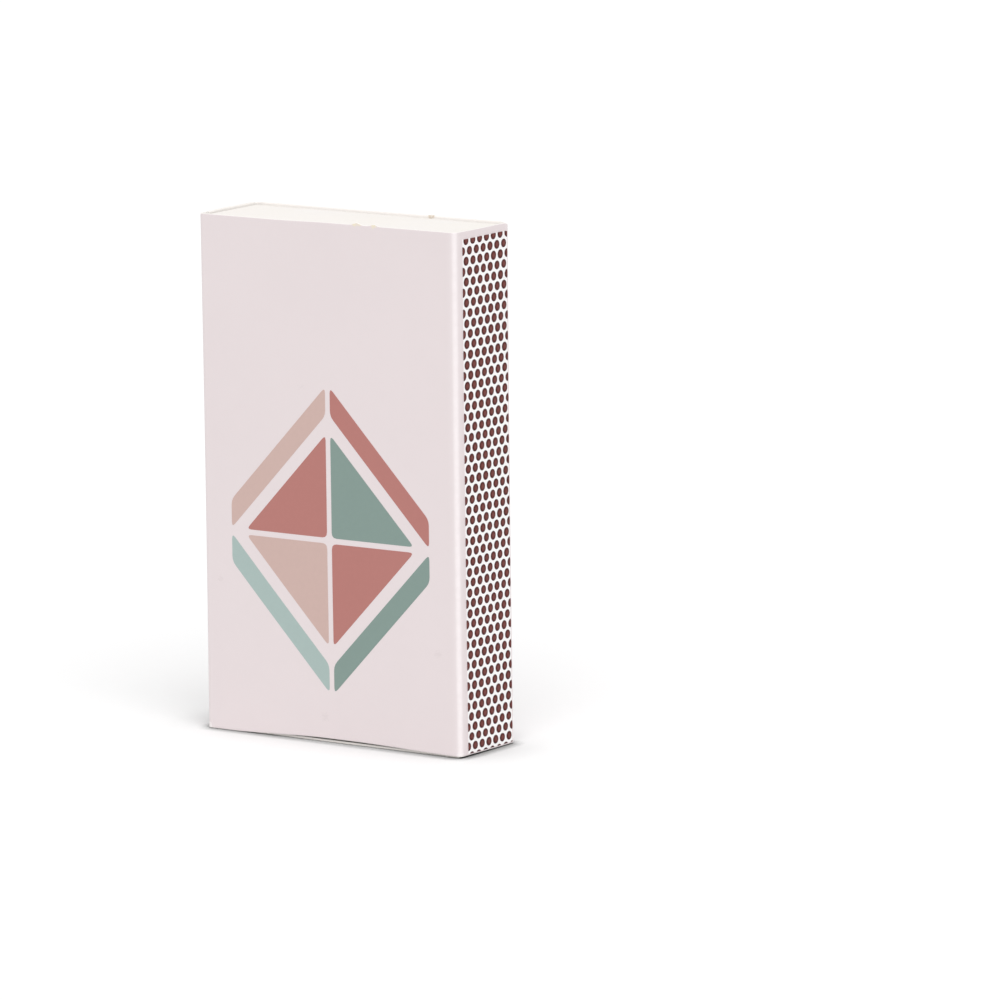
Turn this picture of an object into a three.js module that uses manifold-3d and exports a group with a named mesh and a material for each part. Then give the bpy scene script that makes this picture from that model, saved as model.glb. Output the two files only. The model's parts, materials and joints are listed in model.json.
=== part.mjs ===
// A box of long household matches that stands on its end: a folded card sleeve, the folded card tray that
// slides in it, the matches in the tray, and the striker strips and ink on the sleeve.
// Millimetres. X runs along the width of the front, Y from the front to the back, and Z up.
// The origin is the middle of the sleeve's base.
import * as THREE from "three";
import { mergeVertices } from "three/addons/utils/BufferGeometryUtils.js";
import Module from "manifold-3d";

const wasm = await Module();
wasm.setup();

// Sleeve
const sleeveWidth = 65;
const sleeveDepth = 20;
const sleeveHeight = 110;
const cardThickness = 0.45;
const foldRadius = 1; // outside of a fold
const glueFlapSetback = 1.5; // from the front fold to the free edge of the glued flap inside

// Tray
const slideClearance = 0.3; // from the tray to the sleeve, all round
const trayInset = 0.6; // from the sleeve's upper rim down to the tray's end wall
const cornerFlapLength = 14;
const cornerFlapDrop = 1; // from the tray's rim to the flap's edge
const endWallSetback = 0.4; // from the tray's side to the cut edge of its end wall

// Matches
const matchCount = 44;
const stickThickness = 2.5;
const headDiameter = 4.2;
const headLength = 6.5;
const matchClearance = 0.12; // between neighbouring heads
const fingerSpace = 7.6; // from the tips of the heads to the tray's upper end

// Striker strips, one on each narrow side
const stripMarginFront = 2.7;
const stripMarginBack = 1.1;
const stripMarginTop = 1.7;
const stripMarginBase = 0.3;
const stripThickness = 0.05;
const dotDiameter = 1.85;
const dotPitch = 2.5; // along a row
const dotHeight = 0.12; // above the strip's ground
const firstRowDrop = 0.35; // from the strip's upper edge to the middle of the first row

// Ink on the front: a diamond of four triangles, with four slanting bars round it
const inkThickness = 0.05;
const motifHeight = 43; // centre of the diamond, above the base
const diamondHalfWidth = 22;
const diamondHalfHeight = 23;
const barHeight = 6; // measured upright
const barGap = 4; // measured upright, from the diamond to the bars
const inkGap = 1.2; // bare card between neighbouring fields
const inkRounding = 1.2; // from a field's corner to where its rounding starts

// Facets
const foldFacets = 3; // in an eighth of a turn
const headFacets = 6;
const dotFacets = 6;

const coat = (color, roughness) => new THREE.MeshStandardMaterial({ color, roughness, metalness: 0 });
const printedCard = coat(0xe6dbdc, 0.6);
const plainCard = coat(0xf9f4f0, 0.75);
const matchWood = coat(0xf4e6c6, 0.7);
const strikerCoat = coat(0x6e3c3a, 0.9);
const terracotta = coat(0xb87972, 0.65);
const sage = coat(0x849992, 0.65);
const mint = coat(0xabbeba, 0.65);
const blush = coat(0xcfb2aa, 0.65);

// A closed three.js geometry as a solid that can be joined and cut
function solidFrom(geometry) {
  const bare = geometry.clone();
  bare.deleteAttribute("normal");
  bare.deleteAttribute("uv");
  const merged = mergeVertices(bare);
  return new wasm.Manifold(
    new wasm.Mesh({
      numProp: 3,
      vertProperties: merged.attributes.position.array,
      triVerts: new Uint32Array(merged.index.array),
    }),
  );
}

function geometryFrom(solid) {
  const { vertProperties, triVerts } = solid.getMesh();
  return new THREE.BufferGeometry()
    .setAttribute("position", new THREE.BufferAttribute(vertProperties, 3))
    .setIndex(new THREE.BufferAttribute(triVerts, 1));
}

function joined(geometries) {
  return geometryFrom(geometries.map(solidFrom).reduce((whole, next) => whole.add(next)));
}

function piece(name, geometry, material) {
  const mesh = new THREE.Mesh(geometry, material);
  mesh.name = name;
  return mesh;
}

function extruded(shape, depth) {
  return new THREE.ExtrudeGeometry(shape, { depth, bevelEnabled: false, curveSegments: foldFacets });
}

// Sleeve: one card blank folded round the tray. Its last panel is glued over a flap on the left side,
// so that side is two cards thick, and the panel's free edge stops at the back left fold.
function sleeve() {
  const side = sleeveWidth / 2;
  const flapFace = -side + cardThickness;
  const foldX = side - foldRadius;
  const flapFoldX = flapFace + foldRadius;
  const foldY = sleeveDepth / 2 - foldRadius;
  const innerRadius = foldRadius - cardThickness;
  const flapEdge = -foldY + glueFlapSetback;

  const outline = new THREE.Shape();
  outline.absarc(-foldX, -foldY, foldRadius, Math.PI, 1.5 * Math.PI);
  outline.absarc(foldX, -foldY, foldRadius, 1.5 * Math.PI, 2 * Math.PI);
  outline.absarc(foldX, foldY, foldRadius, 0, 0.5 * Math.PI);
  outline.absarc(flapFoldX, foldY, foldRadius, 0.5 * Math.PI, Math.PI);
  outline.lineTo(-side, foldY);
  outline.closePath();

  const inside = new THREE.Path();
  inside.absarc(-foldX, -foldY, innerRadius, Math.PI, 1.5 * Math.PI);
  inside.absarc(foldX, -foldY, innerRadius, 1.5 * Math.PI, 2 * Math.PI);
  inside.absarc(foldX, foldY, innerRadius, 0, 0.5 * Math.PI);
  inside.absarc(flapFoldX, foldY, innerRadius, 0.5 * Math.PI, Math.PI);
  inside.lineTo(flapFace + cardThickness, flapEdge);
  inside.lineTo(flapFace, flapEdge);
  inside.closePath();
  outline.holes.push(inside);

  return piece("sleeve", extruded(outline, sleeveHeight), printedCard);
}

// Tray, in a frame of its own: X across, Y from the open face to the floor, Z up from the lower end
const trayWidth = sleeveWidth - 3 * cardThickness - 2 * slideClearance;
const trayDepth = sleeveDepth - 2 * cardThickness - 2 * slideClearance;
const trayLength = sleeveHeight - trayInset;
const trayX = cardThickness / 2; // the sleeve's left side is one card thicker
const trayRim = -trayDepth / 2;

// The section of a floor with a wall folded up at each end, open towards -Y
function foldedChannel(halfWidth) {
  const foldX = halfWidth - foldRadius;
  const foldY = trayDepth / 2 - foldRadius;
  const innerRadius = foldRadius - cardThickness;
  const channel = new THREE.Shape();
  channel.moveTo(halfWidth - cardThickness, trayRim);
  channel.lineTo(halfWidth, trayRim);
  channel.absarc(foldX, foldY, foldRadius, 0, 0.5 * Math.PI);
  channel.absarc(-foldX, foldY, foldRadius, 0.5 * Math.PI, Math.PI);
  channel.lineTo(-halfWidth, trayRim);
  channel.lineTo(-halfWidth + cardThickness, trayRim);
  channel.absarc(-foldX, foldY, innerRadius, Math.PI, 0.5 * Math.PI, true);
  channel.absarc(foldX, foldY, innerRadius, 0.5 * Math.PI, 0, true);
  channel.closePath();
  return channel;
}

// The floor with its side walls, up to the folds of the corner flaps
function traySides() {
  const start = cardThickness + foldRadius;
  return extruded(foldedChannel(trayWidth / 2), trayLength - 2 * start).translate(0, 0, start);
}

// The floor with its end walls
function trayEnds() {
  const span = trayWidth - 2 * foldRadius;
  return extruded(foldedChannel(trayLength / 2), span)
    .rotateY(-Math.PI / 2)
    .translate(span / 2, 0, trayLength / 2);
}

// An end wall is wider than the floor, and covers the folds of the corner flaps
function endWall(end) {
  const height = trayDepth - foldRadius;
  const width = trayWidth - 2 * endWallSetback;
  const middle = trayLength / 2 + (end * (trayLength - cardThickness)) / 2;
  return new THREE.BoxGeometry(width, height, cardThickness).translate(0, trayRim + height / 2, middle);
}

// A side wall's flap, folded inwards and glued flat behind the end wall
function cornerFlap(side, end) {
  const foldX = trayWidth / 2 - foldRadius;
  const foldZ = trayLength / 2 - cardThickness - foldRadius;
  const innerRadius = foldRadius - cardThickness;
  const flapEdge = trayWidth / 2 - cornerFlapLength;
  const outline = new THREE.Shape();
  outline.absarc(foldX, foldZ, foldRadius, 0, 0.5 * Math.PI);
  outline.lineTo(flapEdge, foldZ + foldRadius);
  outline.lineTo(flapEdge, foldZ + innerRadius);
  outline.absarc(foldX, foldZ, innerRadius, 0.5 * Math.PI, 0, true);
  outline.closePath();
  const placed = outline.getPoints(foldFacets).map((at) => new THREE.Vector2(side * at.x, end * at.y));
  const height = trayDepth - foldRadius - cornerFlapDrop;
  return extruded(new THREE.Shape(placed), height)
    .rotateX(Math.PI / 2)
    .translate(0, trayRim + cornerFlapDrop + height, trayLength / 2);
}

function tray() {
  const ends = [-1, 1];
  const flaps = ends.flatMap((end) => ends.map((side) => cornerFlap(side, end)));
  return piece("tray", joined([traySides(), trayEnds(), ...ends.map(endWall), ...flaps]), plainCard);
}

// Matches: they stand on the tray's lower end in staggered layers, from the floor towards the open face
const insideWidth = trayWidth - 2 * cardThickness;
const floorFace = trayDepth / 2 - cardThickness;
const matchLength = trayLength - 4 * cardThickness - fingerSpace;
const matchSpace = Math.max(headDiameter, stickThickness * Math.SQRT2) + matchClearance;

function matchGeometry() {
  const stickLength = matchLength - headLength / 2;
  const stick = new THREE.BoxGeometry(stickThickness, stickThickness, stickLength).translate(0, 0, stickLength / 2);
  const radius = headDiameter / 2;
  const profile = [
    [0, 0],
    [0.8 * radius, 0.14 * headLength],
    [radius, 0.45 * headLength],
    [0.72 * radius, 0.88 * headLength],
    [0, headLength],
  ].map(([out, up]) => new THREE.Vector2(out, up));
  const head = new THREE.LatheGeometry(profile, headFacets)
    .rotateX(Math.PI / 2)
    .translate(0, 0, matchLength - headLength);
  return joined([stick, head]);
}

function matchPlaces() {
  const columns = Math.floor(insideWidth / matchSpace);
  const columnPitch = insideWidth / columns;
  const layerPitch = Math.sqrt(matchSpace ** 2 - (columnPitch / 2) ** 2);
  const layers = 1 + Math.floor((floorFace - trayRim - matchSpace) / layerPitch);
  const places = [];
  for (let layer = 0; layer < layers; layer += 1) {
    const inLayer = columns - (layer % 2);
    for (let column = 0; column < inLayer; column += 1)
      places.push([(column - (inLayer - 1) / 2) * columnPitch, floorFace - matchSpace / 2 - layer * layerPitch]);
  }
  return places.slice(0, matchCount);
}

function matches() {
  const geometry = matchGeometry();
  const reach = stickThickness * Math.SQRT1_2;
  return matchPlaces().map(([x, y], index) => {
    const match = piece("match_" + String(index + 1).padStart(2, "0"), geometry, matchWood);
    const onFlap = Math.abs(x) + reach > trayWidth / 2 - cornerFlapLength;
    match.position.set(x, y, onFlap ? 2 * cardThickness : cardThickness);
    match.rotation.z = THREE.MathUtils.degToRad((index * 37) % 90); // no two neighbours lie square
    return match;
  });
}

// A face of the sleeve as a frame: X to the right as one looks at it, Y up, Z out of the card
function sleeveFace(turn, distance, pieces) {
  const face = new THREE.Group();
  face.position.y = -distance;
  face.rotation.x = Math.PI / 2;
  face.add(...pieces);
  const turned = new THREE.Group();
  turned.rotation.z = turn;
  turned.add(face);
  return turned;
}

// Low domes of friction coat in staggered rows, from the strip's upper front corner down and back
function dotSolids(width, length) {
  const rowPitch = (dotPitch * Math.sqrt(3)) / 2;
  const rootDepth = stripThickness / 2; // how deep a dome starts in the ground
  const rootRadius = (dotDiameter / 2) * (1 + rootDepth / dotHeight);
  const height = dotHeight + rootDepth;
  const dome = new THREE.ConeGeometry(rootRadius, height, dotFacets).rotateX(Math.PI / 2);
  const middle = stripThickness - rootDepth + height / 2;
  const solids = [];
  for (let row = 0; row * rowPitch < length + dotDiameter / 2; row += 1)
    for (let across = row % 2 ? 0 : dotPitch / 2; across < width + dotDiameter / 2; across += dotPitch)
      solids.push(solidFrom(dome.clone().translate(across, -firstRowDrop - row * rowPitch, middle)));
  return solids;
}

function rectangle(left, base, right, top) {
  const shape = new THREE.Shape();
  shape.moveTo(left, base);
  shape.lineTo(right, base);
  shape.lineTo(right, top);
  shape.lineTo(left, top);
  shape.closePath();
  return shape;
}

// A striker strip in a frame whose X starts at its front edge and runs back, and whose Y ends at its upper edge.
// The dots at the strip's edges are cut off with it.
function strikerStrip(name) {
  const width = sleeveDepth - stripMarginFront - stripMarginBack;
  const length = sleeveHeight - stripMarginTop - stripMarginBase;
  const spare = dotDiameter;
  const ground = extruded(rectangle(-spare, -length - spare, width + spare, spare), stripThickness);
  const blank = wasm.Manifold.union([solidFrom(ground), ...dotSolids(width, length)]);
  const outline = extruded(rectangle(0, -length, width, 0), stripThickness + 2 * dotHeight);
  const strip = piece(name, geometryFrom(blank.intersect(solidFrom(outline))), strikerCoat);
  strip.position.set(stripMarginFront - sleeveDepth / 2, sleeveHeight - stripMarginTop, 0);
  return strip;
}

// A polygon with its corners rounded off
function rounded(corners) {
  const shape = new THREE.Shape();
  corners.forEach((corner, index) => {
    const towards = (other) => corner.clone().lerp(other, inkRounding / corner.distanceTo(other));
    const start = towards(corners.at(index - 1));
    const end = towards(corners[(index + 1) % corners.length]);
    if (index) shape.lineTo(start.x, start.y);
    else shape.moveTo(start.x, start.y);
    shape.quadraticCurveTo(corner.x, corner.y, end.x, end.y);
  });
  shape.closePath();
  return shape;
}

// One triangle of the diamond and the bar beside it, in one quarter of the motif
function motifQuarter(place, side, end, triangleInk, barInk) {
  const slope = diamondHalfHeight / diamondHalfWidth;
  const near = inkGap / 2;
  const edge = (x) => diamondHalfHeight - slope * x;
  const barReach = (edge(0) + barGap - near) / slope;
  const quarter = (corners) =>
    rounded(corners.map(([x, y]) => new THREE.Vector2(side * x, motifHeight + end * y)));
  const triangle = quarter([
    [near, near],
    [(edge(0) - near) / slope, near],
    [near, edge(near)],
  ]);
  const bar = quarter([
    [near, edge(near) + barGap],
    [barReach, near],
    [barReach, near + barHeight],
    [near, edge(near) + barGap + barHeight],
  ]);
  return [
    piece("print_diamond_" + place, extruded(triangle, inkThickness), triangleInk),
    piece("print_bar_" + place, extruded(bar, inkThickness), barInk),
  ];
}

const frontFace = sleeveFace(0, sleeveDepth / 2, [
  ...motifQuarter("upper_left", -1, 1, terracotta, blush),
  ...motifQuarter("upper_right", 1, 1, sage, terracotta),
  ...motifQuarter("lower_left", -1, -1, blush, mint),
  ...motifQuarter("lower_right", 1, -1, terracotta, sage),
]);

const rightFace = sleeveFace(Math.PI / 2, sleeveWidth / 2, [strikerStrip("striker_right")]);

// The left strip mirrors the right one, front edge to front edge
const leftFace = new THREE.Group();
leftFace.scale.x = -1;
leftFace.add(sleeveFace(Math.PI / 2, sleeveWidth / 2, [strikerStrip("striker_left")]));

const drawer = new THREE.Group();
drawer.position.x = trayX;
drawer.add(tray(), ...matches());

const matchbox = new THREE.Group();
matchbox.add(sleeve(), frontFace, rightFace, leftFace, drawer);

export default matchbox;
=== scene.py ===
"""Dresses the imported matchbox: folded card, ink, striker dots, wooden matches, floor, light and camera.

Places are worked out in millimetres in the frame's own axes (X right, Y back, Z up from the base), and
become metres where a mesh is made.
"""

import json
import math
import random

import bmesh
import bpy
from mathutils import Matrix, Vector, noise


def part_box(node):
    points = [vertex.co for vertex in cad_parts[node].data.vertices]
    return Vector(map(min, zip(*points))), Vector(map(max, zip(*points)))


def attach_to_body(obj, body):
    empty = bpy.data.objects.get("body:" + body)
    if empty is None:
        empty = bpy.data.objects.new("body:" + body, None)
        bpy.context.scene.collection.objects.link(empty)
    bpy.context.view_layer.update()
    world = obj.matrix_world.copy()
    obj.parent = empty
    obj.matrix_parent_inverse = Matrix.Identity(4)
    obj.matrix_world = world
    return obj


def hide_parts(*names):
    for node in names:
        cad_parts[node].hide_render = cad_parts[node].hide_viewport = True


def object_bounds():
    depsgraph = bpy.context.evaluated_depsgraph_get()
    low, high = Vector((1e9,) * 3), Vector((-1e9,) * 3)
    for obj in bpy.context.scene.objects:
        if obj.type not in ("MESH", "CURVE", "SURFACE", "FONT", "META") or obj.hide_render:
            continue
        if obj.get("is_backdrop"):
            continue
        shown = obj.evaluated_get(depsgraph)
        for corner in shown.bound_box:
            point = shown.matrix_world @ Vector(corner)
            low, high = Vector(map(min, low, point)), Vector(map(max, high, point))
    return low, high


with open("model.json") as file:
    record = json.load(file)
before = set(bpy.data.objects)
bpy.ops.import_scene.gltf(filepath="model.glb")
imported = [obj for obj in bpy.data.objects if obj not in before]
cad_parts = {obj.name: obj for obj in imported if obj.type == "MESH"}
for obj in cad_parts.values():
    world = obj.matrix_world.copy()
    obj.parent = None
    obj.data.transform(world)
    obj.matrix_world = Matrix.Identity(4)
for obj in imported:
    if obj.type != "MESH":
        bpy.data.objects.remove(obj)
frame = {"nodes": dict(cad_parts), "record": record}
cad_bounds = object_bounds()

MM = 0.001


def box_mm(node_name):
    """A solid's lowest and highest corner in millimetres."""
    low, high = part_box(node_name)
    return low / MM, high / MM


# Card, as in the solids
HALF_WIDTH, HALF_DEPTH, HEIGHT = box_mm("sleeve")[1]
CARD = 0.45
FOLD_RADIUS = 1.0
FLAP_SETBACK = 1.5
CUT_CHAMFER = 0.06

# Mesh steps round the card and up it
FRONT_STEPS = 96
SIDE_STEPS = 18
FOLD_STEPS = 10
HEIGHT_STEPS = 60
ROWS_NEAR_EDGE = (CUT_CHAMFER, 0.3, 0.6, 1.0, 1.5)
EVEN_ROWS_START = 2.0

# How the real card departs from a true box
FRONT_BOW = 0.2
SIDE_BOW = 0.08
SQUEEZE = 0.14
WAVE_HEIGHT = 0.09
WAVE_LENGTH = 26.0
WAVE_START = Vector((4.3, 0.7, 9.1))
BASE_LIFT = 0.08
FRONT_BASE_LIFT = 0.8
LIFT_RISE = (-27.0, -2.0)  # where along X the front's lift begins, and where it is full
LIFT_FALL = (5.0, HALF_WIDTH)  # where it begins to fall again, and where that ends
LIFT_LOSS = 0.6  # the share of it that is gone by then
BACK_LIFT_SHARE = 0.35
FRONT_RIM_DIP = 0.3
FRONT_RIM_RISE = 0.22
RIM_RISE_SPAN = (-14.0, 2.0)  # where along X the front's rim rises
BACK_RIM_DIP = 0.15
BACK_RIM_START = -0.3  # how far back that is reached, as a share of half the depth
EDGE_REACH = 6.0  # how far from its cut edges the card follows them

# How much paler the skin is along the folds, from rubbing and a painted highlight: fully on the folds, less
# beside them and on the left
FOLD_WEAR_AND_HIGHLIGHT_WIDTH = 0.9
FLAT_WEAR_AND_HIGHLIGHT = 0.3
LEFT_WEAR_AND_HIGHLIGHT = 0.2

# Where the upper rim is worn down: x, y, width and depth. A negative depth is a fibre that stands up.
RIM_WEAR = (
    (7.9, -9.8, 1.5, -0.5),
    (12.2, -9.8, 1.2, -0.45),
    (13.3, 9.8, 1.4, -0.2),
    (32.4, 10.0, 1.7, 0.5),
    (-32.4, 10.0, 1.5, 0.3),
)
RIM_WEAR_FOCUS = 1.6  # how soon a worn place ends

# Marks on the skin: x, y, z and radius
RIM_CHIPS = (
    (7.3, -10.0, 110.3, 0.9),
    (8.6, -10.0, 110.3, 0.8),
    (12.2, -10.0, 110.2, 0.9),
)
BACK_CHIP = (
    (12.9, 9.7, 109.7, 0.7),
    (13.7, 9.7, 109.7, 0.5),
)
WORN_CORNERS = (
    (-32.3, -10.0, 0.2, 1.4),
    (32.3, -9.9, 0.3, 1.1),
    (32.4, 9.9, 109.7, 0.9),
    (-32.4, -9.9, 109.8, 0.8),
)
SCUFFS = (
    (-28.3, -10.0, 32.3, 0.9),
    (-6.7, -10.0, 74.9, 0.7),
    (27.0, -10.0, 21.6, 0.9),
    (-1.9, -10.0, 5.4, 1.0),
)

# Tray
TRAY_END_CROWN = 0.3
TRAY_CROWN_DEPTH = 1.1 * CARD  # how far below the tray's highest point the crown reaches
TRAY_EDGE_ROUNDING = 0.05
TRAY_SHARP_ANGLE = 40.0

# Ink
INK_HEIGHT = 0.02
INK_DEPTH = 0.05  # how deep the ink and the strips reach into the card

# Meshes. Angles are in degrees.
GRID_STEP = 2.5  # between the cuts that let a copied solid follow a curve
WELD_GAP = 0.0005
SMOOTH_ANGLE = 50.0  # a sharper edge isn't shaded smooth
COPY_SMOOTH_ANGLE = 35.0  # the same on copies of solids

# Striker
DOT_RADIUS = 0.975
DOT_PITCH = 2.5
DOT_HEIGHT = 0.12
DOT_SIZES = (0.97, 1.03)  # smallest and largest, as shares of the radius
DOT_RISES = (0.9, 1.1)  # lowest and highest, as shares of the height
DOT_SUNK = 0.008  # how deep a dome's rim lies in the ground
DOT_OVERHANG = 0.8  # share of its radius that a dot's middle may lie past the strip's edge
FIRST_ROW_DROP = 0.35
GROUND_HEIGHT = 0.03
GROUND_COLUMNS = 8
GROUND_ROWS = 54
DOT_SECTORS = 18
DOT_RINGS = 4

# Matches
STICK = 2.5
STICK_CHAMFER = 0.16
STICK_LEVELS = 12
STICK_BEND = (0.16, 0.1)  # at most, across the stick's two ways
SHORTEST_MATCH = 0.993  # as a share of the solid's length
HEAD_LENGTH = 6.5
HEAD_RADIUS = 2.1
HEAD_FULLNESS = 0.72  # below 1, the head is fuller than an ellipse
HEAD_TAPER = 0.1  # how much slimmer it is at the stick, and fuller at the tip
SMALLEST_HEAD = 0.95
HEAD_LUMPS = 0.03
HEAD_SECTORS = 24
HEAD_RINGS = 16
TURN_STEP = 37  # degrees from one match to the next, as in the solids

# Light
WORLD_LEVEL = 0.725
KEY_AZIMUTH, KEY_ELEVATION, KEY_STRENGTH, KEY_SOFTNESS = 42.0, 49.0, 1.29, 55.0
FLOOR_REACH = 6.0  # metres from the middle to each side
FLOOR_ALBEDO = 0.83
FLOOR_GLOW = 0.015
CONTACT_SHADE = ((3.0, 1.5), (14.0, 0.32))  # reach in millimetres and strength

# Camera, fitted to the striker dots and the edges of the box in the photograph
IMAGE_SIZE = 1000
FOCAL_PIXELS = 8060.67
SENSOR = 36.0
AZIMUTH, ELEVATION, DISTANCE = 35.226, 9.620, 1685.83
AIM = Vector((0.0, 0.0, 55.0))
PAN, TILT, ROLL = -1.0155, -0.1773, 0.8111


def srgb(red, green, blue):
    """A colour given from 0 to 255, as the linear colour that a shader takes."""

    def linear(value):
        value /= 255
        return value / 12.92 if value <= 0.04045 else ((value + 0.055) / 1.055) ** 2.4

    return (linear(red), linear(green), linear(blue), 1.0)


def clamp(value, low, high):
    return min(max(value, low), high)


def smooth_step(value, low, high):
    share = clamp((value - low) / (high - low), 0.0, 1.0)
    return share * share * (3 - 2 * share)


def direction(azimuth, elevation):
    """Towards this azimuth, 0 in front and 90 on the right, and elevation, in degrees."""
    around, up = math.radians(azimuth), math.radians(elevation)
    return Vector((math.sin(around) * math.cos(up), -math.cos(around) * math.cos(up), math.sin(up)))


# Shader helpers


def node(tree, kind, inputs=None, **settings):
    """Adds a node. An input is a plain value, or a socket that is linked to it."""
    made = tree.nodes.new(kind)
    for name, value in settings.items():
        setattr(made, name, value)
    for name, value in (inputs or {}).items():
        if isinstance(value, bpy.types.NodeSocket):
            tree.links.new(value, made.inputs[name])
        else:
            made.inputs[name].default_value = value
    return made


def new_material(name):
    made = bpy.data.materials.new(name)
    made.use_nodes = True
    made.node_tree.nodes.clear()
    return made, made.node_tree


def place(tree):
    return node(tree, "ShaderNodeTexCoord").outputs["Object"]


def stretched(tree, scale):
    return node(tree, "ShaderNodeMapping", {"Vector": place(tree), "Scale": scale}).outputs["Vector"]


def speckle(tree, per_mm, detail=2.0, vector=None):
    """Noise from 0 to 1 with about this many spots to a millimetre."""
    inputs = {"Vector": vector or place(tree), "Scale": per_mm / MM, "Detail": detail, "Roughness": 0.6}
    return node(tree, "ShaderNodeTexNoise", inputs).outputs["Fac"]


def mark_of(tree, name):
    """A number that the mesh carries at its points."""
    return node(tree, "ShaderNodeAttribute", attribute_name=name).outputs["Fac"]


def remap(tree, value, low, high, to_low=0.0, to_high=1.0):
    inputs = {"Value": value, "From Min": low, "From Max": high, "To Min": to_low, "To Max": to_high}
    return node(tree, "ShaderNodeMapRange", inputs).outputs["Result"]


def calculate(tree, operation, first, second):
    return node(tree, "ShaderNodeMath", {0: first, 1: second}, operation=operation).outputs[0]


def mixed(tree, factor, first, second):
    """Two colours mixed. The node's colour sockets share their names, so they are taken by number."""
    return node(tree, "ShaderNodeMix", {0: factor, 6: first, 7: second}, data_type="RGBA").outputs[2]


def near(tree, spots, ragged):
    """1 near any of the spots and 0 away from them, with ragged edges."""
    fray = remap(tree, speckle(tree, 2.2, detail=4.0), 0.3, 0.7, -ragged, ragged)
    total = None
    for x, y, z, radius in spots:
        ends = {0: place(tree), 1: (x * MM, y * MM, z * MM)}
        gap = node(tree, "ShaderNodeVectorMath", ends, operation="DISTANCE").outputs["Value"]
        share = calculate(tree, "ADD", calculate(tree, "DIVIDE", gap, radius * MM), fray)
        spot = remap(tree, share, 1.0, 0.4)
        total = spot if total is None else calculate(tree, "MAXIMUM", total, spot)
    return total


def finish_surface(tree, colour, relief, *, roughness, specular, strength, depth):
    """The shader that ends every material of the object. Depth is the relief's, in millimetres."""
    bump = {"Height": relief, "Strength": strength, "Distance": depth * MM}
    inputs = {
        "Base Color": colour,
        "Roughness": roughness,
        "Specular IOR Level": specular,
        "Normal": node(tree, "ShaderNodeBump", bump).outputs["Normal"],
    }
    surface = node(tree, "ShaderNodeBsdfPrincipled", inputs)
    node(tree, "ShaderNodeOutputMaterial", {"Surface": surface.outputs[0]})


def finish_print(tree, colour):
    """The slight sheen and fine tooth that the printed skin and the ink share."""
    tooth = speckle(tree, 3.0, detail=4.0)
    finish_surface(tree, colour, tooth, roughness=0.5, specular=0.45, strength=0.12, depth=0.02)


# Materials


def printed_card():
    """The pale pink skin of the sleeve, paler along the folds from rubbing and a painted highlight, and paler
    at the corners from rubbing.
    """
    made, tree = new_material("printed_card")
    colour = mixed(tree, speckle(tree, 0.05, detail=3.0), srgb(233, 222, 223), srgb(229, 218, 219))
    # Paler along the folds: part rubbing, part a painted highlight on the rounded folds.
    patchy_wear_and_highlight = remap(tree, speckle(tree, 0.5, detail=5.0), 0.25, 0.6, to_low=0.6, to_high=0.95)
    paled_by_wear_and_highlight = calculate(tree, "MULTIPLY", mark_of(tree, "fold"), patchy_wear_and_highlight)
    colour = mixed(tree, paled_by_wear_and_highlight, colour, srgb(247, 239, 240))
    scuffed = calculate(tree, "MULTIPLY", near(tree, SCUFFS, ragged=0.9), 0.14)
    colour = mixed(tree, scuffed, colour, srgb(196, 184, 184))
    colour = mixed(tree, near(tree, WORN_CORNERS, ragged=0.4), colour, srgb(248, 242, 241))
    colour = mixed(tree, near(tree, RIM_CHIPS, ragged=0.35), colour, srgb(239, 228, 204))
    finish_print(tree, colour)
    return made


def bare_board(name, light, dark, chips=()):
    """Unprinted card with the faint clouding and fibres of pulp, browner where it is chipped."""
    made, tree = new_material(name)
    colour = mixed(tree, speckle(tree, 0.08, detail=4.0), light, dark)
    if chips:
        colour = mixed(tree, near(tree, chips, ragged=0.35), colour, srgb(224, 211, 194))
    fibres = speckle(tree, 4.0, detail=5.0, vector=stretched(tree, (1.0, 1.0, 0.25)))
    finish_surface(tree, colour, fibres, roughness=0.85, specular=0.2, strength=0.3, depth=0.03)
    return made


def ink(name, colour):
    """Flat ink with the faint mottling of a print on card."""
    made, tree = new_material(name)
    darker = tuple(0.94 * channel for channel in colour[:3]) + (1.0,)
    finish_print(tree, mixed(tree, speckle(tree, 0.9, detail=6.0), colour, darker))
    return made


def striker_ground():
    """The white that the dots are printed on."""
    made, tree = new_material("striker_ground")
    colour = mixed(tree, speckle(tree, 0.2, detail=3.0), srgb(253, 251, 251), srgb(249, 247, 247))
    tooth = speckle(tree, 3.0, detail=4.0)
    finish_surface(tree, colour, tooth, roughness=0.6, specular=0.35, strength=0.1, depth=0.02)
    return made


def friction_coat():
    """Gritty red-brown dots, lighter on top and darker round the rim."""
    made, tree = new_material("friction_coat")
    rim = remap(tree, mark_of(tree, "rim"), 0.3, 0.9)
    colour = mixed(tree, rim, srgb(126, 74, 69), srgb(72, 33, 34))
    grit = speckle(tree, 7.0, detail=3.0)
    colour = mixed(tree, remap(tree, grit, 0.35, 0.75, to_high=0.3), colour, srgb(66, 34, 34))
    finish_surface(tree, colour, grit, roughness=0.9, specular=0.15, strength=0.7, depth=0.05)
    return made


def match_wood():
    """Pale aspen with fine grain along the stick and a little difference from stick to stick."""
    made, tree = new_material("match_wood")
    colour = mixed(tree, mark_of(tree, "tone"), srgb(255, 245, 220), srgb(250, 232, 194))
    grain = speckle(tree, 1.6, detail=5.0, vector=stretched(tree, (1.0, 1.0, 0.04)))
    colour = mixed(tree, remap(tree, grain, 0.45, 0.8, to_high=0.4), colour, srgb(228, 198, 148))
    finish_surface(tree, colour, grain, roughness=0.7, specular=0.25, strength=0.4, depth=0.06)
    return made


def match_head():
    """The matt white of dried dip."""
    made, tree = new_material("match_head")
    colour = mixed(tree, speckle(tree, 0.8, detail=4.0), srgb(251, 249, 247), srgb(243, 240, 238))
    dimples = speckle(tree, 2.5, detail=4.0)
    finish_surface(tree, colour, dimples, roughness=0.55, specular=0.35, strength=0.25, depth=0.06)
    return made


# Mesh helpers


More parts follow.
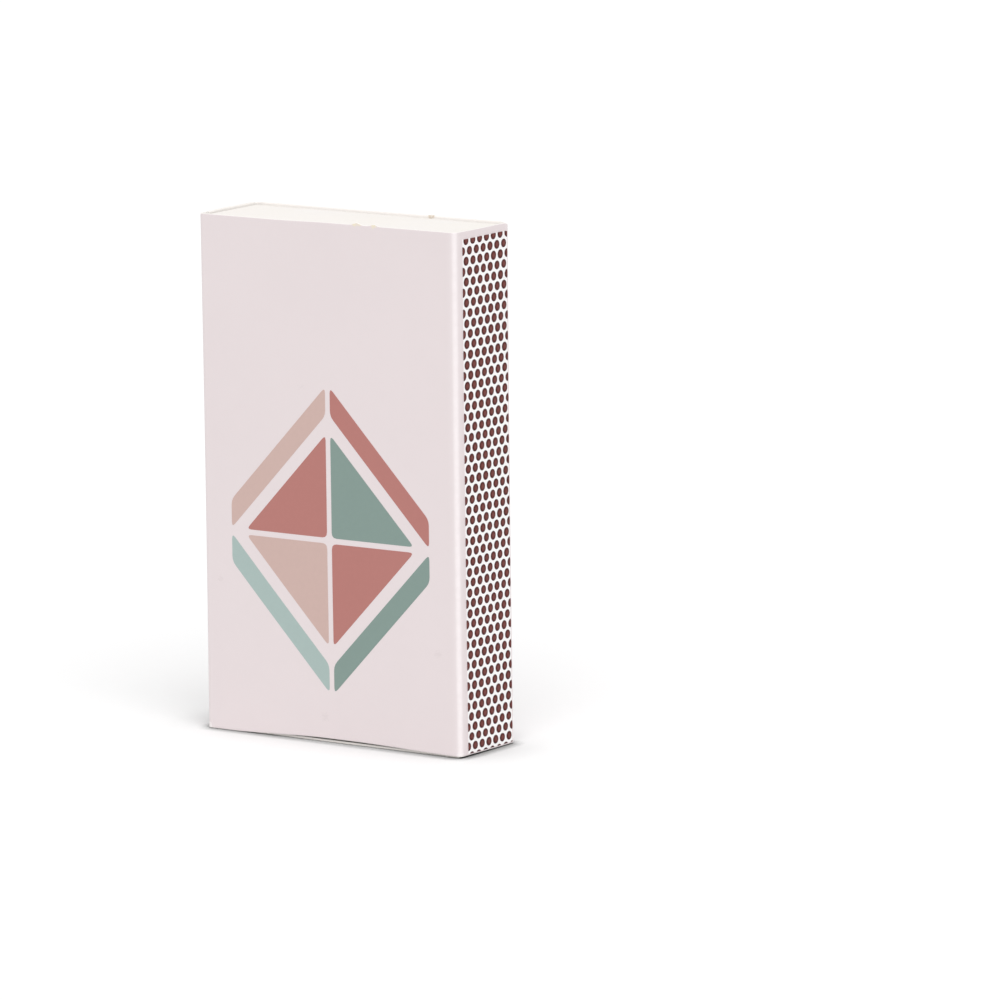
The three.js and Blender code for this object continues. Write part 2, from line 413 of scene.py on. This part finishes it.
class Draft:
    """Points in millimetres, a mark for each, and faces with their materials, before a mesh is made."""

    def __init__(self):
        self.points, self.marks, self.faces, self.slots = [], [], [], []

    def add(self, points, marks=0.0):
        """Adds points, with a mark for each or one for all, and says where they start."""
        start = len(self.points)
        self.points += points
        self.marks += marks if isinstance(marks, list) else [marks] * len(points)
        return start

    def face(self, corners, slot=0):
        self.faces.append(tuple(corners))
        self.slots.append(slot)

    def bridge(self, first, second, count, slot=0):
        """Joins two closed rings of as many points."""
        for k in range(count):
            onward = (k + 1) % count
            self.face((first + k, first + onward, second + onward, second + k), slot)

    def fan(self, centre, ring, count, slot=0):
        """Closes a ring with triangles to a point."""
        for k in range(count):
            self.face((centre, ring + k, ring + (k + 1) % count), slot)


def new_object(name, mesh):
    made = bpy.data.objects.new(name, mesh)
    bpy.context.scene.collection.objects.link(made)
    return made


def finish_mesh(work, mesh, smooth_angle):
    """Writes the mesh with its faces outwards, shaded smooth apart from edges sharper than the angle."""
    bmesh.ops.recalc_face_normals(work, faces=work.faces)
    for face in work.faces:
        face.smooth = True
    for edge in work.edges:
        edge.smooth = edge.calc_face_angle(0.0) < math.radians(smooth_angle)
    work.to_mesh(mesh)
    work.free()


def new_piece(name, draft, materials, mark_name=None, weld=False):
    """An object from a draft. Welding joins the points that a cut has brought together."""
    mesh = bpy.data.meshes.new(name)
    mesh.from_pydata([Vector(point) * MM for point in draft.points], [], draft.faces)
    for material in materials:
        mesh.materials.append(material)
    mesh.polygons.foreach_set("material_index", draft.slots)
    if mark_name:
        mesh.attributes.new(mark_name, "FLOAT", "POINT").data.foreach_set("value", draft.marks)
    work = bmesh.new()
    work.from_mesh(mesh)
    if weld:
        bmesh.ops.remove_doubles(work, verts=work.verts, dist=WELD_GAP * MM)
        bmesh.ops.dissolve_degenerate(work, dist=WELD_GAP * MM, edges=work.edges)
    finish_mesh(work, mesh, SMOOTH_ANGLE)
    return new_object(name, mesh)


def copy_of_solid(node_name, name, material):
    """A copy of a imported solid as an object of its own, and its mesh opened for work."""
    mesh = frame["nodes"][node_name].data.copy()
    mesh.name = name
    mesh.materials.clear()
    mesh.materials.append(material)
    work = bmesh.new()
    work.from_mesh(mesh)
    return new_object(name, mesh), work


def cut_grid(work, low, high, axes):
    """Cuts a mesh by evenly spaced planes across the given axes, so that it can follow a curve."""
    for axis in axes:
        normal = Vector([float(k == axis) for k in range(3)])
        steps = max(1, round((high[axis] - low[axis]) / GRID_STEP))
        for k in range(1, steps):
            at = normal * (low[axis] + (high[axis] - low[axis]) * k / steps) * MM
            parts = list(work.verts) + list(work.edges) + list(work.faces)
            bmesh.ops.bisect_plane(work, geom=parts, plane_co=at, plane_no=normal)


def attach(made, body, slot, *nodes):
    """Puts a piece on the body that it rides on and hides the solids that it stands for. The slot is not
    used.
    """
    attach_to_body(made, body)
    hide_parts(*nodes)


# The card's departure from a true box


def lower_edge(x, y):
    """How far the lower edge stands off the ground: most in the middle of the front."""
    forward = 1 - smooth_step(y, -HALF_DEPTH, HALF_DEPTH)
    share = BACK_LIFT_SHARE + (1 - BACK_LIFT_SHARE) * forward
    along = smooth_step(x, *LIFT_RISE) * (1 - LIFT_LOSS * smooth_step(x, *LIFT_FALL))
    return BASE_LIFT + FRONT_BASE_LIFT * along * share


def upper_edge(x, y):
    """How far the upper edge lies below the full height: on the front, more at the left."""
    front = FRONT_RIM_DIP - FRONT_RIM_RISE * smooth_step(x, *RIM_RISE_SPAN)
    to_back = smooth_step(y, -HALF_DEPTH, BACK_RIM_START * HALF_DEPTH)
    drop = front + (BACK_RIM_DIP - front) * to_back
    for worn_x, worn_y, width, depth in RIM_WEAR:
        gap = math.hypot(x - worn_x, y - worn_y) / width
        drop += depth * math.exp(-((RIM_WEAR_FOCUS * gap) ** 2))
    return drop


def stand_off(x, y, z, middle, along_x):
    """How far a panel stands proud of flat. The folds keep their place."""
    across = x / (HALF_WIDTH - FOLD_RADIUS) if along_x else y / (HALF_DEPTH - FOLD_RADIUS)
    inside = math.cos(0.5 * math.pi * min(abs(across), 1.0))
    wave = noise.noise(Vector((x, y, z)) / WAVE_LENGTH + WAVE_START)
    return ((FRONT_BOW if along_x else SIDE_BOW) * middle + WAVE_HEIGHT * wave) * inside


def warped(x, y, z, outward):
    """A point of the true box, moved to where the real card has it. Outward is its panel's direction."""
    middle = math.sin(math.pi * clamp(z / HEIGHT, 0.0, 1.0))
    out = stand_off(x, y, z, middle, abs(outward[1]) > abs(outward[0]))
    raised = lower_edge(x, y) * (1 - clamp(z / EDGE_REACH, 0.0, 1.0))
    lowered = upper_edge(x, y) * (1 - clamp((HEIGHT - z) / EDGE_REACH, 0.0, 1.0))
    squeezed = x * (1 - SQUEEZE * middle / HALF_WIDTH)
    return (squeezed + outward[0] * out, y + outward[1] * out, z + raised - lowered)


# Sleeve


def facing(degrees):
    return Vector((math.cos(math.radians(degrees)), math.sin(math.radians(degrees))))


def flat_stations(start, end, degrees, steps):
    """Stations from start up to, and without, end, on a panel that faces this way."""
    length = (end - start).length
    stations = []
    for k in range(steps):
        to_fold = min(k, steps - k) / steps * length
        # Paler near the folds from rubbing and a painted highlight, fading over a short width.
        wear_and_highlight = FLAT_WEAR_AND_HIGHLIGHT * max(0.0, 1 - to_fold / FOLD_WEAR_AND_HIGHLIGHT_WIDTH)
        stations.append((start + (end - start) * (k / steps), facing(degrees), wear_and_highlight))
    return stations


def card_stations():
    """Places along the card's middle line, the way the card faces there, and how much paler its skin is there
    from rubbing and a painted highlight.

    The line starts at the free edge of the glued flap, inside the left side, and runs round the back, the
    right side and the front to the free edge of the closing panel, outside the flap.
    """
    radius = FOLD_RADIUS - CARD / 2
    fold_x, fold_y = HALF_WIDTH - FOLD_RADIUS, HALF_DEPTH - FOLD_RADIUS
    flap_x = fold_x - CARD
    legs = (
        (Vector((-flap_x, fold_y)), 180, SIDE_STEPS),
        (Vector((fold_x, fold_y)), 90, FRONT_STEPS),
        (Vector((fold_x, -fold_y)), 0, SIDE_STEPS),
        (Vector((-fold_x, -fold_y)), -90, FRONT_STEPS),
    )
    at = Vector((-flap_x - radius, -fold_y + FLAP_SETBACK))
    stations = []
    for centre, degrees, steps in legs:
        stations += flat_stations(at, centre + radius * facing(degrees), degrees, steps)
        for k in range(FOLD_STEPS):
            out = facing(degrees - 90 * k / FOLD_STEPS)
            # Palest in the middle of each fold: rubbing and a painted highlight.
            wear_and_highlight = FLAT_WEAR_AND_HIGHLIGHT + (1 - FLAT_WEAR_AND_HIGHLIGHT) * math.sin(math.pi * k / FOLD_STEPS)
            stations.append((centre + radius * out, out, wear_and_highlight))
        at = centre + radius * facing(degrees - 90)
    closing_edge = Vector((at.x, fold_y))
    stations += flat_stations(at, closing_edge, 180, SIDE_STEPS)
    stations.append((closing_edge, facing(180), 0.0))
    # Less of the rubbing and the painted highlight on the left side.
    return [(point, out, wear_and_highlight * (LEFT_WEAR_AND_HIGHLIGHT if point.x < 0 else 1.0)) for point, out, wear_and_highlight in stations]


def row_heights():
    """Heights of the mesh's rows, closer together near the cut edges."""
    span = HEIGHT - 2 * EVEN_ROWS_START
    inner = [EVEN_ROWS_START + k * span / HEIGHT_STEPS for k in range(HEIGHT_STEPS + 1)]
    return [*ROWS_NEAR_EDGE, *inner, *(HEIGHT - z for z in reversed(ROWS_NEAR_EDGE))]


def card_loop(point, outward, rows):
    """One cut through the card from its lower to its upper edge, as a closed loop of places."""
    face, cut = CARD / 2, CARD / 2 - CUT_CHAMFER
    loop = [(face, z) for z in rows]
    loop += [(cut, HEIGHT), (-cut, HEIGHT)]
    loop += [(-face, z) for z in reversed(rows)]
    loop += [(-cut, 0.0), (cut, 0.0)]
    return [warped(point.x + out * outward.x, point.y + out * outward.y, z, outward) for out, z in loop]


def make_sleeve(skin, board):
    """The sleeve as one strip of card: skin outside, bare board inside and at the cut edges."""
    stations = card_stations()
    heights = row_heights()
    rows = len(heights)
    draft = Draft()
    starts = [draft.add(card_loop(point, outward, heights), wear_and_highlight) for point, outward, wear_and_highlight in stations]
    count = 2 * rows + 4
    for this, after in zip(starts, starts[1:]):
        for k in range(count):
            onward = (k + 1) % count
            draft.face((this + k, this + onward, after + onward, after + k), int(k >= rows - 1))
    for start in (starts[0], starts[-1]):
        outer = [start + k for k in range(rows)]
        inner = [start + 2 * rows + 1 - k for k in range(rows)]
        for k in range(rows - 1):
            draft.face((outer[k], outer[k + 1], inner[k + 1], inner[k]), 1)
        draft.face((outer[-1], start + rows, start + rows + 1, inner[-1]), 1)
        draft.face((outer[0], inner[0], start + count - 2, start + count - 1), 1)
    return new_piece("card_sleeve", draft, (skin, board), "fold")


# Ink


def make_ink(node_name, material):
    """A field of ink that follows the front's bow."""
    low, high = box_mm(node_name)
    made, work = copy_of_solid(node_name, "ink_" + node_name.removeprefix("print_"), material)
    cut_grid(work, low, high, (0, 2))
    for vertex in work.verts:
        x, y, z = vertex.co / MM
        out = INK_HEIGHT if y < (low.y + high.y) / 2 else -INK_DEPTH
        vertex.co = Vector(warped(x, -HALF_DEPTH - out, z, (0, -1))) * MM
    finish_mesh(work, made.data, COPY_SMOOTH_ANGLE)
    return made


# Striker


def dot_places(width, length):
    """The middles of the dots in staggered rows: how far back from the front edge, and how far down."""
    row_pitch = DOT_PITCH * math.sqrt(3) / 2
    overhang = DOT_OVERHANG * DOT_RADIUS
    row = 0
    while FIRST_ROW_DROP + row * row_pitch < length + overhang:
        back = 0.0 if row % 2 else DOT_PITCH / 2
        while back < width + overhang:
            yield back, FIRST_ROW_DROP + row * row_pitch
            back += DOT_PITCH
        row += 1


def add_ground(draft, at, width, length):
    """The strip's white ground: a thin sheet with a front, a back and a rim."""
    line = GROUND_COLUMNS + 1
    layers = []
    for out in (-INK_DEPTH, GROUND_HEIGHT):
        points = []
        for row in range(GROUND_ROWS + 1):
            down = length * row / GROUND_ROWS
            points += [at(width * k / GROUND_COLUMNS, down, out) for k in range(line)]
        layers.append(draft.add(points))
    for start in layers:
        for row in range(GROUND_ROWS):
            for k in range(GROUND_COLUMNS):
                corner = start + row * line + k
                draft.face((corner, corner + 1, corner + line + 1, corner + line))
    last = GROUND_ROWS * line
    rim = [*range(line - 1), *range(line - 1, last, line)]
    rim += [*range(last + line - 1, last, -1), *range(last, 0, -line)]
    for k, corner in enumerate(rim):
        onward = rim[(k + 1) % len(rim)]
        draft.face((layers[0] + corner, layers[0] + onward, layers[1] + onward, layers[1] + corner))


def add_dot(draft, at, back, down, width, length, draw):
    """A low dome of friction coat. What would lie past the strip's edges is pulled in to them."""
    radius = DOT_RADIUS * draw.uniform(*DOT_SIZES)
    rise = DOT_HEIGHT * draw.uniform(*DOT_RISES)

    def ring(share, sunk=False):
        points, rims = [], []
        for k in range(DOT_SECTORS if share else 1):
            angle = 2 * math.pi * k / DOT_SECTORS
            across = clamp(back + share * radius * math.cos(angle), 0.0, width)
            along = clamp(down + share * radius * math.sin(angle), 0.0, length)
            rim = min(math.hypot(across - back, along - down) / radius, 1.0)
            out = 0.0 if sunk else GROUND_HEIGHT - DOT_SUNK * rim + rise * (1 - rim**3)
            points.append(at(across, along, out))
            rims.append(rim)
        return draft.add(points, rims)

    top = ring(0)
    rings = [ring((k + 1) / DOT_RINGS) for k in range(DOT_RINGS)] + [ring(1, sunk=True)]
    draft.fan(top, rings[0], DOT_SECTORS, 1)
    for inner, outer in zip(rings, rings[1:]):
        draft.bridge(inner, outer, DOT_SECTORS, 1)
    draft.fan(ring(0, sunk=True), rings[-1], DOT_SECTORS, 1)


def make_striker(name, side, ground, coat):
    """One friction strip. Side is 1 on the right of the box and -1 on the left."""
    low, high = box_mm("striker_" + name)
    width, length = high.y - low.y, high.z - low.z
    draw = random.Random(name)

    def at(back, down, out):
        return warped(side * (HALF_WIDTH + out), low.y + back, high.z - down, (side, 0))

    draft = Draft()
    add_ground(draft, at, width, length)
    for back, down in dot_places(width, length):
        add_dot(draft, at, back, down, width, length, draw)
    return new_piece("friction_strip_" + name, draft, (ground, coat), "rim", weld=True)


# Tray


def make_tray(board):
    """The folded tray with the soft edges of cut card and a slight crown on its upper end."""
    low, high = box_mm("tray")
    made, work = copy_of_solid("tray", "card_tray", board)
    bmesh.ops.remove_doubles(work, verts=work.verts, dist=0.001 * MM)
    bmesh.ops.dissolve_limit(work, angle_limit=math.radians(1), verts=work.verts, edges=work.edges)
    least = math.radians(TRAY_SHARP_ANGLE)
    sharp = [edge for edge in work.edges if edge.calc_face_angle(0.0) > least]
    rounding = TRAY_EDGE_ROUNDING * MM
    bmesh.ops.bevel(work, geom=sharp, offset=rounding, segments=2, profile=0.6, affect="EDGES")
    bmesh.ops.triangulate(work, faces=work.faces)
    cut_grid(work, low, high, (0, 1))
    centre, reach = (low + high) / 2, (high - low) / 2
    for vertex in work.verts:
        x, y, z = vertex.co / MM
        if z > high.z - TRAY_CROWN_DEPTH:
            across = math.cos(0.5 * math.pi * clamp(abs(x - centre.x) / reach.x, 0.0, 1.0))
            along = math.cos(0.5 * math.pi * clamp(abs(y - centre.y) / reach.y, 0.0, 1.0))
            vertex.co.z += TRAY_END_CROWN * across * along * MM
    finish_mesh(work, made.data, COPY_SMOOTH_ANGLE)
    return made


# Matches


def head_profile(share):
    """The head's radius and height at a share of its length: round below, drawn to a blunt tip."""
    angle = math.pi * share
    radius = HEAD_RADIUS * math.sin(angle) ** HEAD_FULLNESS * (1.0 - HEAD_TAPER * math.cos(angle))
    return min(radius, HEAD_RADIUS), HEAD_LENGTH * 0.5 * (1 - math.cos(angle))


def add_stick(draft, length, draw):
    """A square stick with its long edges broken and a little bend."""
    half, inner = STICK / 2, STICK / 2 - STICK_CHAMFER
    section = [(inner, -half), (half, -inner), (half, inner), (inner, half)]
    section += [(-x, -y) for x, y in section]
    sides = len(section)
    bend_x, bend_y = [draw.uniform(-most, most) for most in STICK_BEND]
    starts = []
    for level in range(STICK_LEVELS + 1):
        share = level / STICK_LEVELS
        sway = math.sin(math.pi * share)
        shifted = [(x + bend_x * sway, y + bend_y * sway, length * share) for x, y in section]
        starts.append(draft.add(shifted))
    for low, high in zip(starts, starts[1:]):
        draft.bridge(low, high, sides)
    for start in (starts[0], starts[-1]):
        draft.face(range(start, start + sides))


def add_head(draft, base, draw):
    """The drop of dried dip on the stick's end, slightly lumpy."""
    plump = draw.uniform(SMALLEST_HEAD, 1.0)
    lumps = Vector((draw.uniform(0, 50), 0, 0))
    rings = []
    for ring in range(1, HEAD_RINGS):
        radius, up = head_profile(ring / HEAD_RINGS)
        points = []
        for k in range(HEAD_SECTORS):
            out = facing(360 * k / HEAD_SECTORS)
            lump = noise.noise(Vector((out.x, out.y, up / 2)) + lumps)
            lumpy = plump * radius * (1 + HEAD_LUMPS * lump)
            points.append((lumpy * out.x, lumpy * out.y, base + up))
        rings.append(draft.add(points))
    draft.fan(draft.add([(0, 0, base)]), rings[0], HEAD_SECTORS, 1)
    for low, high in zip(rings, rings[1:]):
        draft.bridge(low, high, HEAD_SECTORS, 1)
    draft.fan(draft.add([(0, 0, base + HEAD_LENGTH)]), rings[-1], HEAD_SECTORS, 1)


def make_match(node_name, index, wood, head, draw):
    """One match, where its solid stands and turned as it is."""
    low, high = box_mm(node_name)
    length = (high.z - low.z) * draw.uniform(SHORTEST_MATCH, 1.0)
    draft = Draft()
    add_stick(draft, length - HEAD_LENGTH / 2, draw)
    add_head(draft, length - HEAD_LENGTH, draw)
    draft.marks = [draw.random()] * len(draft.points)
    made = new_piece("wood_" + node_name, draft, (wood, head), "tone")
    made.location = Vector(((low.x + high.x) / 2, (low.y + high.y) / 2, low.z)) * MM
    made.rotation_euler.z = math.radians(index * TURN_STEP % 90)
    return made


# Floor, light and camera


def seen_directly(tree):
    """1 where a ray comes straight from the camera, or by a mirror or through glass."""
    path = node(tree, "ShaderNodeLightPath").outputs
    mirrored = calculate(tree, "MAXIMUM", path["Is Glossy Ray"], path["Is Transmission Ray"])
    return calculate(tree, "MAXIMUM", path["Is Camera Ray"], mirrored)


def make_floor():
    """A pale floor that looks white to the camera, and darkens close to what stands on it."""
    mesh = bpy.data.meshes.new("floor")
    corners = [(-1, -1), (1, -1), (1, 1), (-1, 1)]
    mesh.from_pydata([(FLOOR_REACH * x, FLOOR_REACH * y, 0) for x, y in corners], [], [(0, 1, 2, 3)])
    made, tree = new_material("floor")
    plain = node(tree, "ShaderNodeBsdfDiffuse", {"Color": (FLOOR_ALBEDO,) * 3 + (1.0,)}).outputs[0]
    shade = 1.0
    for reach, strength in CONTACT_SHADE:
        openness = node(tree, "ShaderNodeAmbientOcclusion", {"Distance": reach * MM}, samples=4).outputs["AO"]
        shade = calculate(tree, "MULTIPLY", shade, calculate(tree, "POWER", openness, strength))
    white = node(tree, "ShaderNodeBsdfDiffuse", {"Color": shade}).outputs[0]
    glow = node(tree, "ShaderNodeEmission", {"Strength": FLOOR_GLOW}).outputs[0]
    bright = node(tree, "ShaderNodeAddShader", {0: white, 1: glow}).outputs[0]
    surface = node(tree, "ShaderNodeMixShader", {0: seen_directly(tree), 1: plain, 2: bright})
    node(tree, "ShaderNodeOutputMaterial", {"Surface": surface.outputs[0]})
    mesh.materials.append(made)
    new_object("floor", mesh)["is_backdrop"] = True


def make_world():
    world = bpy.data.worlds.new("studio")
    bpy.context.scene.world = world
    world.use_nodes = True
    tree = world.node_tree
    tree.nodes.clear()
    strength = remap(tree, seen_directly(tree), 0.0, 1.0, WORLD_LEVEL, 1.0)
    inputs = {"Color": (1.0, 1.0, 1.0, 1.0), "Strength": strength}
    background = node(tree, "ShaderNodeBackground", inputs)
    node(tree, "ShaderNodeOutputWorld", {"Surface": background.outputs[0]})


def make_key():
    """A broad soft lamp from the right, in front and above."""
    data = bpy.data.lights.new("key", "SUN")
    data.energy = KEY_STRENGTH
    data.angle = math.radians(KEY_SOFTNESS)
    lamp = new_object("key", data)
    lamp.rotation_mode = "QUATERNION"
    lamp.rotation_quaternion = direction(KEY_AZIMUTH, KEY_ELEVATION).to_track_quat("Z", "Y")


def make_camera():
    data = bpy.data.cameras.new("camera")
    data.sensor_width = SENSOR
    data.lens = FOCAL_PIXELS * SENSOR / IMAGE_SIZE
    data.clip_start, data.clip_end = 0.05, 50.0
    camera = new_object("camera", data)
    back = direction(AZIMUTH, ELEVATION)
    right = Vector((0, 0, 1)).cross(back).normalized()
    upright = Matrix((right, back.cross(right), -back))
    turn = Matrix.Rotation(math.radians(ROLL), 3, "Z") @ Matrix.Rotation(math.radians(PAN), 3, "Y")
    right, up, forward = turn @ Matrix.Rotation(math.radians(TILT), 3, "X") @ upright
    rotation = Matrix((right, up, -forward)).transposed()
    camera.matrix_world = Matrix.Translation((AIM + back * DISTANCE) * MM) @ rotation.to_4x4()
    bpy.context.scene.camera = camera


raw_board = bare_board("raw_board", srgb(251, 248, 245), srgb(248, 244, 240), BACK_CHIP)
attach(make_sleeve(printed_card(), raw_board), "sleeve", "sleeve_card", "sleeve")

inks = {
    "ink_terracotta": ink("ink_terracotta", srgb(184, 121, 114)),
    "ink_sage": ink("ink_sage", srgb(132, 153, 146)),
    "ink_mint": ink("ink_mint", srgb(171, 190, 186)),
    "ink_blush": ink("ink_blush", srgb(208, 179, 171)),
}
for subpart in frame["record"]["subparts"]:
    slot = subpart["material_slot"]
    if slot in inks:
        attach(make_ink(subpart["node"], inks[slot]), "sleeve", slot, subpart["node"])

ground, coat = striker_ground(), friction_coat()
for name, side in (("right", 1), ("left", -1)):
    attach(make_striker(name, side, ground, coat), "sleeve", "striker_coat", "striker_" + name)

tray_board = bare_board("tray_board", srgb(247, 243, 241), srgb(246, 241, 234))
attach(make_tray(tray_board), "tray", "tray_card", "tray")

wood, head = match_wood(), match_head()
match_draw = random.Random(21)
for index, name in enumerate(sorted(name for name in frame["nodes"] if name.startswith("match_"))):
    attach(make_match(name, index, wood, head, match_draw), "tray", "match_wood", name)

make_floor()
make_world()
make_key()
make_camera()
bpy.context.scene.view_settings.view_transform = "Standard"

bounds = {"cad": cad_bounds, "visual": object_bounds()}
{name: [list(corner) for corner in corners] for name, corners in bounds.items()}
